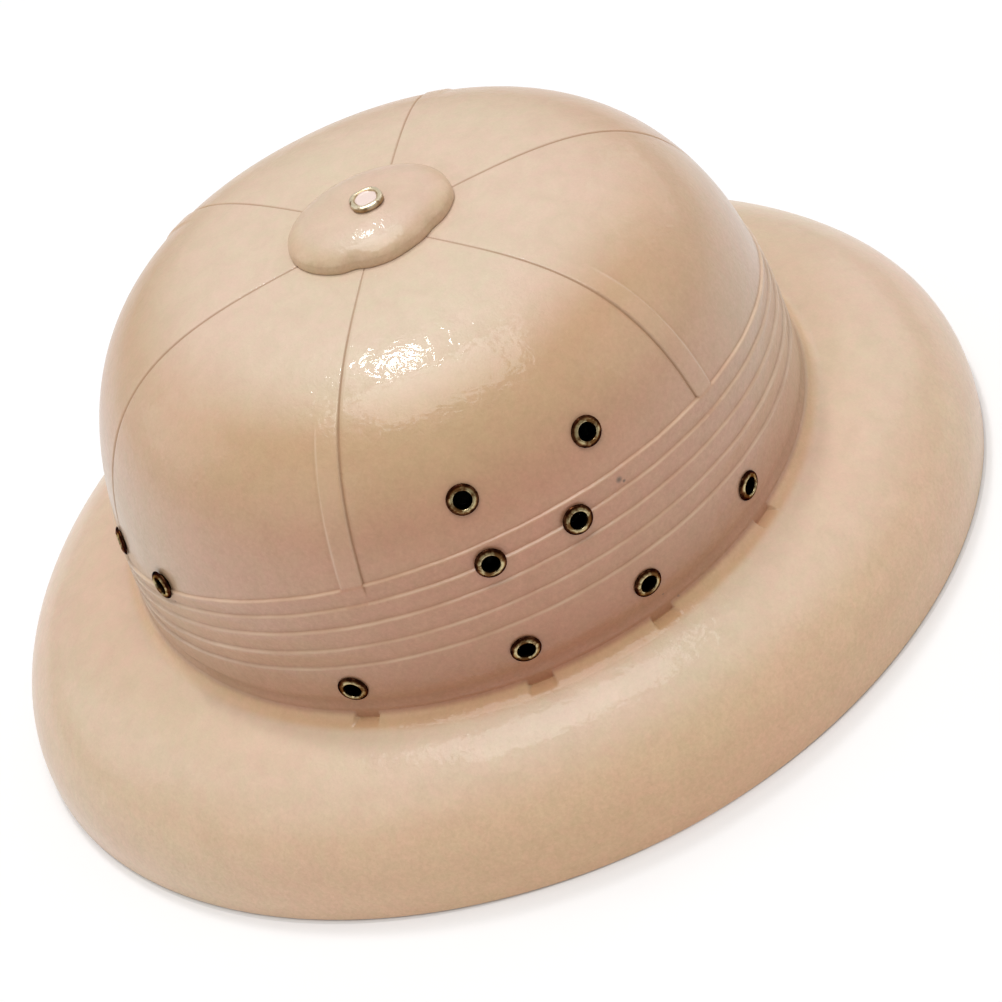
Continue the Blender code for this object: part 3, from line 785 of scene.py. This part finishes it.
def drill(item):
    """Cut the holes of the eyelets and the rivet through the shell."""
    radius = EYELET_BORE + EYELET_TUBE_WALL + TUBE_ROOM
    holes = [(eyelet_frame(angle, level), radius) for _, angle, level in eyelet_places()]
    top = Vector((*RIVET_PLACE, CROWN_TOP)) * MM
    holes.append((Matrix.Translation(top), RIVET_HOLE))
    cutter = bmesh.new()
    for matrix, radius in holes:
        bmesh.ops.create_cone(
            cutter,
            cap_ends=True,
            segments=DRILL_SIDES,
            radius1=radius * MM,
            radius2=radius * MM,
            depth=DRILL_LENGTH * MM,
            matrix=matrix,
        )
    mesh = bpy.data.meshes.new("drill")
    cutter.to_mesh(mesh)
    cutter.free()
    tool = add_object("drill", mesh)
    cut = item.modifiers.new("drill", "BOOLEAN")
    cut.operation = "DIFFERENCE"
    cut.solver = "EXACT"
    cut.object = tool
    bpy.context.view_layer.update()
    graph = bpy.context.evaluated_depsgraph_get()
    drilled = bpy.data.meshes.new_from_object(item.evaluated_get(graph))
    item.modifiers.clear()
    item.data = drilled
    bpy.data.objects.remove(tool, do_unlink=True)


def make_shell(material):
    """Crown and brim in one wall, with its folds, tapes, grooves, notches and holes."""
    grid = Grid()
    points = []
    marks = []
    for part in (crown_rows(grid), brim_rows(grid), inner_rows(grid)):
        points += part[0]
        marks += part[1]
    rows = len(points)
    points = np.concatenate(points)
    marks = np.concatenate(marks)
    top = np.array([[0.0, CROWN_SHIFT, CROWN_TOP]])
    ends = np.concatenate([top, top - np.array([[0.0, 0.0, WALL]])])
    count = len(points)
    points = np.concatenate([points, ends])
    marks = np.concatenate([marks, np.array([[0.0, 0.0, *TOP_COLOUR], [0.0, 0.0, *BRIM_END_COLOUR]])])
    faces = grid_faces(rows, grid.count, count, count + 1)
    shell = mesh_object("shell_fine", points, faces, material)
    drill(shell)
    put_marks(shell, points, marks)
    shell.data.set_sharp_from_angle(angle=math.radians(SHARP_ANGLE))
    return shell


def turned(name, profile, sides, material):
    """A ring turned round Z from a closed profile of (radius, height) points in millimetres."""
    turn = np.radians(np.arange(sides) * 360.0 / sides)
    points = []
    for radius, height in profile:
        points.append(np.stack([radius * np.cos(turn), radius * np.sin(turn), np.full(sides, height)], -1))
    points = np.concatenate(points)
    faces = []
    count = len(profile)
    for row in range(count):
        start = row * sides
        other = ((row + 1) % count) * sides
        for column in range(sides):
            after = (column + 1) % sides
            faces.append((start + column, start + after, other + after, other + column))
    item = mesh_object(name, points, faces, material)
    fix_normals(item)
    return item


def fix_normals(item):
    """Turn every face to point out."""
    work = bmesh.new()
    work.from_mesh(item.data)
    bmesh.ops.recalc_face_normals(work, faces=work.faces)
    work.to_mesh(item.data)
    work.free()


def eyelet_profile(seat):
    """The outline of an eyelet: flange, rolled rim, tube and clinch, over the seat."""
    lip = -(WALL + INNER_GAP)
    tube = EYELET_BORE + EYELET_TUBE_WALL
    profile = [(radius, seat + height) for radius, height in FLANGE_PROFILE]
    return profile + [
        (2.55, -1.2), (2.5, lip - 0.1), (2.55, lip - 0.5), (2.8, lip - CLINCH_RISE),
        (3.4, lip - 0.62), (3.9, lip - 0.35), (4.08, lip - 0.04), (4.0, lip + 0.02),
        (tube, lip + 0.02), (tube, seat), (4.1, seat - 0.02),
    ]


def make_eyelets(material):
    """Every eyelet, stood where its solid stands."""
    made = []
    chance = np.random.default_rng(11)
    for name, angle, level in eyelet_places():
        foot = level - EYELET_RADIUS / CROWN_HEIGHT
        on_band = foot < fold_level(0, np.array(angle))
        seat = GAP + (FOLD_STEP if on_band else 0.0)
        item = turned(name + "_fine", eyelet_profile(seat), EYELET_SIDES, material)
        spin = Matrix.Rotation(chance.uniform(0.0, 2.0 * math.pi), 4, "Z")
        item.matrix_world = eyelet_frame(angle, level) @ spin
        made.append((item, name))
    return made


def cap_plan(angle, share):
    """The cap's outline at a share of its plan. Only its edge is uneven, as the real one's is."""
    plan = oval(angle, CAP_HALF_WIDTH, CAP_HALF_LENGTH, 2.0)
    radius = np.linalg.norm(plan, axis=-1)
    out = np.zeros_like(radius)
    for middle, rise, width in CAP_UNEVEN:
        away = (angle - middle + 180.0) % 360.0 - 180.0
        out += rise * np.exp(-((away / width) ** 2))
    return plan * (1.0 + out * smooth(0.80, 1.0, share) / radius)[..., None]


def make_cap(material):
    """The cap: a low oval dome whose rounded edge sits on the crown."""
    columns = CAP_COLUMNS
    angle = np.arange(columns) * 360.0 / columns
    dome = CAP_RISE - CAP_EDGE
    rows = []
    shares = []
    round_hole = np.stack([np.cos(np.radians(angle)), np.sin(np.radians(angle))], -1) * CAP_HOLE
    round_hole = round_hole - np.array(CAP_SHIFT)

    def ring(share, height, inset=0.0):
        plan = cap_plan(angle, share)
        radius = np.linalg.norm(plan, axis=-1, keepdims=True)
        flat = plan * share * (1.0 - inset / radius)
        shares.append(np.full(columns, share))
        # Close to the middle the rings gather round the rivet's hole
        gather = smooth(0.30, 0.10, share)
        flat = flat * (1.0 - gather) + round_hole * gather
        rows.append(np.concatenate([flat, np.full((columns, 1), height)], -1))

    for lean in np.linspace(0.0, 1.0, CAP_ROWS):
        share = 0.10 + 0.885 * math.sin(lean * math.pi / 2.0)
        ring(share, CAP_EDGE + dome * (1.0 - share**CAP_POWER) ** (1.0 / CAP_POWER))
    for inset, height in CAP_EDGE_PROFILE:
        ring(1.0, height, inset)
    inner = CAP_RISE - CAP_WALL
    for share in CAP_INNER_SHARES:
        ring(share, inner * (1.0 - share**CAP_POWER) ** (1.0 / CAP_POWER), CAP_WALL * share)
    shift = np.array(CAP_SHIFT) + np.array(RIVET_PLACE)
    points = np.concatenate(rows) + np.array([*shift, CROWN_TOP + GAP])
    count = len(rows)
    faces = grid_faces(count, columns)
    last = (count - 1) * columns
    faces += [(last + i, i, (i + 1) % columns, last + (i + 1) % columns) for i in range(columns)]
    cap = mesh_object("crown_cap_fine", points, faces, material)
    fix_normals(cap)
    marks = np.zeros((len(points), 5))
    height = points[:, 2] - CROWN_TOP
    # A faint painted shade where the cap's edge sits on the crown
    marks[:, 0] = 0.10 * np.exp(-((height / 0.6) ** 2))
    marks[:, 2:] = blend(CAP_COLOUR, CAP_EDGE_COLOUR, smooth(0.72, 1.0, np.concatenate(shares)))
    put_marks(cap, points, marks)
    return cap


def make_rivet(material):
    """The rivet: a rolled, slightly square head with a dished middle, a shank and a clinch inside."""
    columns = RIVET_COLUMNS
    turn = np.arange(columns) * 360.0 / columns
    under = GAP + CAP_RISE + 0.1
    top = GAP + CAP_RISE + GAP + RIVET_HEAD_RISE
    clinch = -(WALL + INNER_GAP)
    profile = (
        (0.6, top - 0.62, 2.0), (1.6, top - 0.62, 2.2), (2.7, top - 0.62, 2.7), (3.25, top - 0.58, 2.9),
        (3.5, top - 0.45, 3.0), (3.75, top - 0.18, 3.0), (4.1, top - 0.02, 3.0), (4.5, top, 2.9),
        (4.9, top - 0.10, 2.8), (5.25, top - 0.40, 2.6), (5.42, top - 0.85, 2.5), (5.40, under + 0.1, 2.4),
        (5.2, under, 2.4), (2.0, under, 2.0), (2.0, clinch, 2.0), (3.5, clinch, 2.0),
        (3.6, clinch - 0.4, 2.0), (3.2, clinch - 0.9, 2.0), (0.6, clinch - 0.9, 2.0),
    )
    rows = []
    for radius, height, power in profile:
        # The corners of the squared head stay inside the round solid
        widest = 2.0 ** (0.5 - 1.0 / power)
        plan = oval(turn - 45.0, radius / widest, radius / widest, power)
        rows.append(np.concatenate([plan, np.full((columns, 1), height)], -1))
    count = len(rows) * columns
    points = np.concatenate(rows)
    ends = np.array([[0.0, 0.0, profile[0][1]], [0.0, 0.0, profile[-1][1]]])
    points = np.concatenate([points, ends]) + np.array([*RIVET_PLACE, CROWN_TOP])
    faces = grid_faces(len(rows), columns, count, count + 1)
    rivet = mesh_object("cap_rivet_fine", points, faces, material)
    fix_normals(rivet)
    return rivet


# Materials

def rgba(colour):
    """A colour with full alpha, as a socket takes it."""
    return (*colour, 1.0)


class Tree:
    """A small helper to lay out a material's nodes."""

    def __init__(self, name):
        self.material = bpy.data.materials.new(name)
        self.material.use_nodes = True
        self.tree = self.material.node_tree
        self.where = self.node("ShaderNodeTexCoord").outputs["Object"]

    def wire(self, value, socket):
        """Link an output to a socket, or set the socket to a value."""
        if isinstance(value, bpy.types.NodeSocket):
            self.tree.links.new(value, socket)
        else:
            socket.default_value = value

    def node(self, kind, **values):
        """A new node. A name that starts with in_ is an input, and any other is a setting."""
        item = self.tree.nodes.new(kind)
        for name, value in values.items():
            if name.startswith("in_"):
                self.wire(value, item.inputs[name[3:].replace("_", " ")])
            else:
                setattr(item, name, value)
        return item

    def surface(self, **values):
        """Link or set the shader's inputs, and give the finished material."""
        shader = self.tree.nodes["Principled BSDF"]
        for name, value in values.items():
            self.wire(value, shader.inputs[name.replace("_", " ")])
        return self.material

    def math(self, operation, first, second=0.0, clamp=False):
        item = self.node("ShaderNodeMath", operation=operation, use_clamp=clamp)
        self.wire(first, item.inputs[0])
        self.wire(second, item.inputs[1])
        return item.outputs[0]

    def mix(self, factor, first, second, blend="MIX"):
        values = {"in_Factor": factor, "in_A": first, "in_B": second}
        return self.node("ShaderNodeMix", data_type="RGBA", blend_type=blend, **values).outputs["Result"]

    def noise(self, scale, detail=2.0, roughness=0.5, distortion=0.0):
        item = self.node("ShaderNodeTexNoise", in_Vector=self.where, in_Scale=scale, in_Detail=detail)
        self.wire(roughness, item.inputs["Roughness"])
        self.wire(distortion, item.inputs["Distortion"])
        return item.outputs["Fac"]

    def ramp(self, factor, stops):
        item = self.node("ShaderNodeValToRGB", in_Fac=factor)
        line = item.color_ramp
        while len(line.elements) > 1:
            line.elements.remove(line.elements[-1])
        line.elements[0].position = stops[0][0]
        line.elements[0].color = rgba(stops[0][1])
        for place, colour in stops[1:]:
            line.elements.new(place).color = rgba(colour)
        return item.outputs["Color"]

    def bump(self, height, strength=1.0, distance=0.001):
        item = self.node("ShaderNodeBump", in_Height=height, in_Strength=strength, in_Distance=distance)
        return item.outputs["Normal"]

    def attribute(self, name, output="Fac"):
        item = self.node("ShaderNodeAttribute", attribute_name=name, attribute_type="GEOMETRY")
        return item.outputs[output]

    def ovalness(self, middle, half_width, half_length):
        """The square of the distance from a middle in X and Y, as a share of an oval's."""
        split = self.node("ShaderNodeSeparateXYZ", in_Vector=self.where)
        across = self.math("SUBTRACT", split.outputs["X"], middle[0] * MM)
        along = self.math("SUBTRACT", split.outputs["Y"], middle[1] * MM)
        across = self.math("POWER", self.math("DIVIDE", across, half_width * MM), 2.0)
        along = self.math("POWER", self.math("DIVIDE", along, half_length * MM), 2.0)
        return self.math("ADD", across, along)


def plastic_material():
    """Tan moulded plastic under a clear gloss. Its tint with painted light and shade, its dirt and painted
    shade, and its wear and painted highlights come from the mesh.
    """
    t = Tree("moulded_tan_plastic")
    crease = t.attribute("crease")
    base = t.attribute("tint", "Color")
    # The mottle shows most on the walls and least where the plastic faces up
    facing = t.node("ShaderNodeSeparateXYZ", in_Vector=t.node("ShaderNodeNewGeometry").outputs["Normal"])
    upward = t.math("POWER", t.math("MAXIMUM", facing.outputs["Z"], 0.0), 2.0)
    for name, noise, low, low_tone, high, high_tone in TONES:
        share = t.math("SUBTRACT", 0.9, t.math("MULTIPLY", upward, 0.75)) if name == "mottle" else 1.0
        tone = t.ramp(t.noise(*noise), ((low, low_tone), (high, high_tone)))
        base = t.mix(share, base, tone, "MULTIPLY")
    # Dirt and painted shade in the creases and grooves
    base = t.mix(t.math("MULTIPLY", crease, 0.72), base, rgba(DIRT_AND_SHADE_COLOUR))
    # Wear and painted highlights on lips and edges
    base = t.mix(t.math("MULTIPLY", t.attribute("wear_and_highlight"), 0.38), base, rgba(WEAR_AND_HIGHLIGHT_COLOUR))
    for angle, level, radius in BLEMISHES:
        away = t.node("ShaderNodeVectorMath", operation="DISTANCE")
        t.wire(t.where, away.inputs[0])
        t.wire(tuple(crown_point(angle, level) * MM), away.inputs[1])
        spot = t.math("SUBTRACT", 1.6, t.math("DIVIDE", away.outputs["Value"], radius * MM), clamp=True)
        base = t.mix(t.math("MULTIPLY", spot, 0.85), base, rgba(BLEMISH_COLOUR))
    # Sparse dark specks
    cells = t.node("ShaderNodeTexVoronoi", feature="F1", in_Vector=t.where, in_Scale=58.0)
    near = t.math("LESS_THAN", cells.outputs["Distance"], 0.030)
    pick = t.node("ShaderNodeSeparateColor", in_Color=cells.outputs["Color"])
    speck = t.math("MULTIPLY", near, t.math("GREATER_THAN", pick.outputs["Red"], 0.86))
    base = t.mix(t.math("MULTIPLY", speck, 0.6), base, rgba(SPECK_COLOUR))
    # Satin, with smoother and duller areas, and dull in the creases and grooves
    sheen = t.noise(38.0, 4.0, 0.6, 0.8)
    rough = t.node("ShaderNodeMapRange", in_Value=sheen, in_To_Min=0.34, in_To_Max=0.50)
    dulled = t.math("ADD", rough.outputs["Result"], t.math("MULTIPLY", crease, 0.45))
    # Slow moulding waves, a leathery mottle and a fine peel
    wave = t.noise(60.0, 2.0, 0.5, 0.5)
    mottle = t.math("MULTIPLY", t.noise(560.0, 3.0, 0.6, 0.4), 0.12)
    peel = t.math("MULTIPLY", t.noise(1300.0), 0.026)
    height = t.math("ADD", t.math("ADD", t.math("MULTIPLY", wave, 0.35), mottle), peel)
    # The clear gloss over it is a little wrinkled, which breaks up its highlights
    wrinkle = t.math("MULTIPLY", t.noise(200.0, 1.5, 0.5, 1.6), 0.19)
    gloss_height = t.math("ADD", t.math("MULTIPLY", wave, 0.30), wrinkle)
    return t.surface(
        Base_Color=base,
        Metallic=0.0,
        Roughness=dulled,
        Specular_IOR_Level=0.5,
        Normal=t.bump(height),
        Coat_Weight=t.math("SUBTRACT", 0.42, t.math("MULTIPLY", crease, 0.90), clamp=True),
        Coat_Roughness=0.055,
        Coat_Normal=t.bump(gloss_height),
    )


def aged_brass_material():
    """The eyelets' brass, whose colour changes from its middle outwards, with spots of tarnish, painted
    shade in its black bore and partly at its dark outer rim.
    """
    t = Tree("aged_brass_patina")
    radius = t.math("SQRT", t.ovalness((0.0, 0.0), RING_REACH, RING_REACH))
    spots = t.noise(430.0, 2.0, 0.55)
    fine = t.noise(3600.0)
    # The rings of colour wander a little in and out
    wander = t.math("ADD", radius, t.math("MULTIPLY", t.math("SUBTRACT", spots, 0.5), 0.045))
    patches = t.math("SUBTRACT", t.math("ADD", spots, t.math("MULTIPLY", fine, 0.3)), 0.58)
    share = t.math("MULTIPLY", patches, 6.0, clamp=True)
    return t.surface(
        Base_Color=t.mix(share, t.ramp(wander, EYELET_RINGS), rgba(TARNISH_SHADE), "MULTIPLY"),
        Metallic=1.0,
        Roughness=t.math("ADD", 0.15, t.math("MULTIPLY", share, 0.20)),
        Specular_Tint=(0.24, 0.13, 0.08, 1.0),
        Normal=t.bump(t.math("ADD", spots, fine), 0.5, 0.00006),
        Coat_Weight=0.03,
        Coat_Roughness=0.08,
    )


def rivet_material():
    """The rivet: a pale middle, a painted reflection of the pale surroundings, inside a brass roll that is
    brown in places.
    """
    t = Tree("bright_brass_worn")
    radius = t.math("SQRT", t.ovalness(RIVET_PLACE, RING_REACH, RING_REACH))
    spots = t.noise(420.0)
    fine = t.noise(2600.0)
    browned = t.math("MULTIPLY", t.math("SUBTRACT", spots, 0.56), 9.0, clamp=True)
    outside = t.math("MULTIPLY", t.math("SUBTRACT", radius, 0.52), 12.0, clamp=True)
    brown = t.math("MULTIPLY", browned, outside)
    return t.surface(
        Base_Color=t.mix(brown, t.ramp(radius, RIVET_RINGS), rgba(RIVET_BROWN)),
        Metallic=t.math("MULTIPLY", outside, 0.75),
        Roughness=t.math("ADD", 0.22, t.math("MULTIPLY", fine, 0.2)),
        Normal=t.bump(t.math("ADD", spots, fine), 0.6, 0.00008),
    )


def floor_material():
    """A plain pale floor that is lit a little from below, except under the hat."""
    t = Tree("pale_floor")
    under_hat = t.ovalness((0.0, 0.0), RIM_HALF_WIDTH, RIM_HALF_LENGTH)
    outside = t.math("GREATER_THAN", under_hat, FLOOR_DARK_SHARE)
    return t.surface(
        Base_Color=rgba(FLOOR_COLOUR),
        Roughness=0.85,
        Specular_IOR_Level=0.2,
        Emission_Color=(1.0, 1.0, 1.0, 1.0),
        Emission_Strength=t.math("MULTIPLY", outside, FLOOR_GLOW),
    )


# Camera, floor and light

def make_camera():
    """The photograph's view: from the wearer's left, a little forward, and well above."""
    azimuth = math.radians(CAMERA_AZIMUTH)
    elevation = math.radians(CAMERA_ELEVATION)
    roll = math.radians(CAMERA_ROLL)
    reach = math.cos(elevation)
    back = Vector((math.sin(azimuth) * reach, -math.cos(azimuth) * reach, math.sin(elevation)))
    level = Vector((math.cos(azimuth), math.sin(azimuth), 0.0))
    upright = back.cross(level)
    right = level * math.cos(roll) + upright * math.sin(roll)
    up = upright * math.cos(roll) - level * math.sin(roll)
    target = Vector(CAMERA_GOAL) + right * CAMERA_RIGHT - up * CAMERA_DOWN
    place = target + back * CAMERA_DISTANCE
    data = bpy.data.cameras.new("camera")
    data.sensor_width = SENSOR_WIDTH
    data.lens = SENSOR_WIDTH * FOCAL_LENGTH / PICTURE_WIDTH
    data.clip_start = 0.01
    data.clip_end = 60.0
    camera = add_object("camera", data)
    turn = Matrix((right, up, back)).transposed().to_4x4()
    camera.matrix_world = Matrix.Translation(place) @ turn
    bpy.context.scene.camera = camera


def add_area(name, place, goal_height, width, length, power):
    """A soft rectangular light that points at a goal over the middle of the floor."""
    data = bpy.data.lights.new(name, "AREA")
    data.shape = "RECTANGLE"
    data.size = width
    data.size_y = length
    data.energy = power
    lamp = add_object(name, data)
    lamp.location = place
    lamp.rotation_mode = "QUATERNION"
    lamp.rotation_quaternion = (Vector((0.0, 0.0, goal_height)) - Vector(place)).to_track_quat("-Z", "Y")
    lamp.visible_camera = False


def make_light():
    """A soft light overhead, two for the gloss, four weak ones round the hat, and a pale surround."""
    for lamp in LAMPS:
        add_area(*lamp)
    for name, degrees, power in AROUND:
        turn = math.radians(degrees)
        place = (AROUND_REACH * math.cos(turn), AROUND_REACH * math.sin(turn), AROUND_HEIGHT)
        add_area(name, place, AROUND_GOAL, AROUND_SIZE, AROUND_SIZE, power)
    world = bpy.data.worlds.new("pale_surround")
    world.use_nodes = True
    shade = world.node_tree.nodes["Background"]
    shade.inputs["Color"].default_value = rgba(SURROUND_COLOUR)
    shade.inputs["Strength"].default_value = SURROUND_STRENGTH
    bpy.context.scene.world = world


def make_floor(material):
    """The floor that the brim's edge rests on."""
    mesh = bpy.data.meshes.new("floor")
    turn = np.radians(np.arange(FLOOR_SIDES) * 360.0 / FLOOR_SIDES)
    plan = np.stack([np.cos(turn), np.sin(turn)], -1) * FLOOR_RADIUS
    ring = np.concatenate([plan, np.full((FLOOR_SIDES, 1), -FLOOR_DROP)], -1)
    mesh.from_pydata(ring.tolist(), [], [tuple(range(FLOOR_SIDES))])
    mesh.materials.append(material)
    floor = add_object("floor", mesh)


def main():
    """Dress the hat and light it."""
    make_camera()
    plastic = plastic_material()
    aged = aged_brass_material()
    gold = rivet_material()
    shell = make_shell(plastic)
    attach(shell, "root")
    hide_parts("shell")
    cap = make_cap(plastic)
    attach(cap, "root")
    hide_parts("crown_cap")
    rivet = make_rivet(gold)
    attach(rivet, "root")
    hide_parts("cap_rivet")
    for item, node in make_eyelets(aged):
        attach(item, "root")
        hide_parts(node)
    make_floor(floor_material())
    make_light()
    bpy.context.scene.view_settings.view_transform = "Standard"


main()
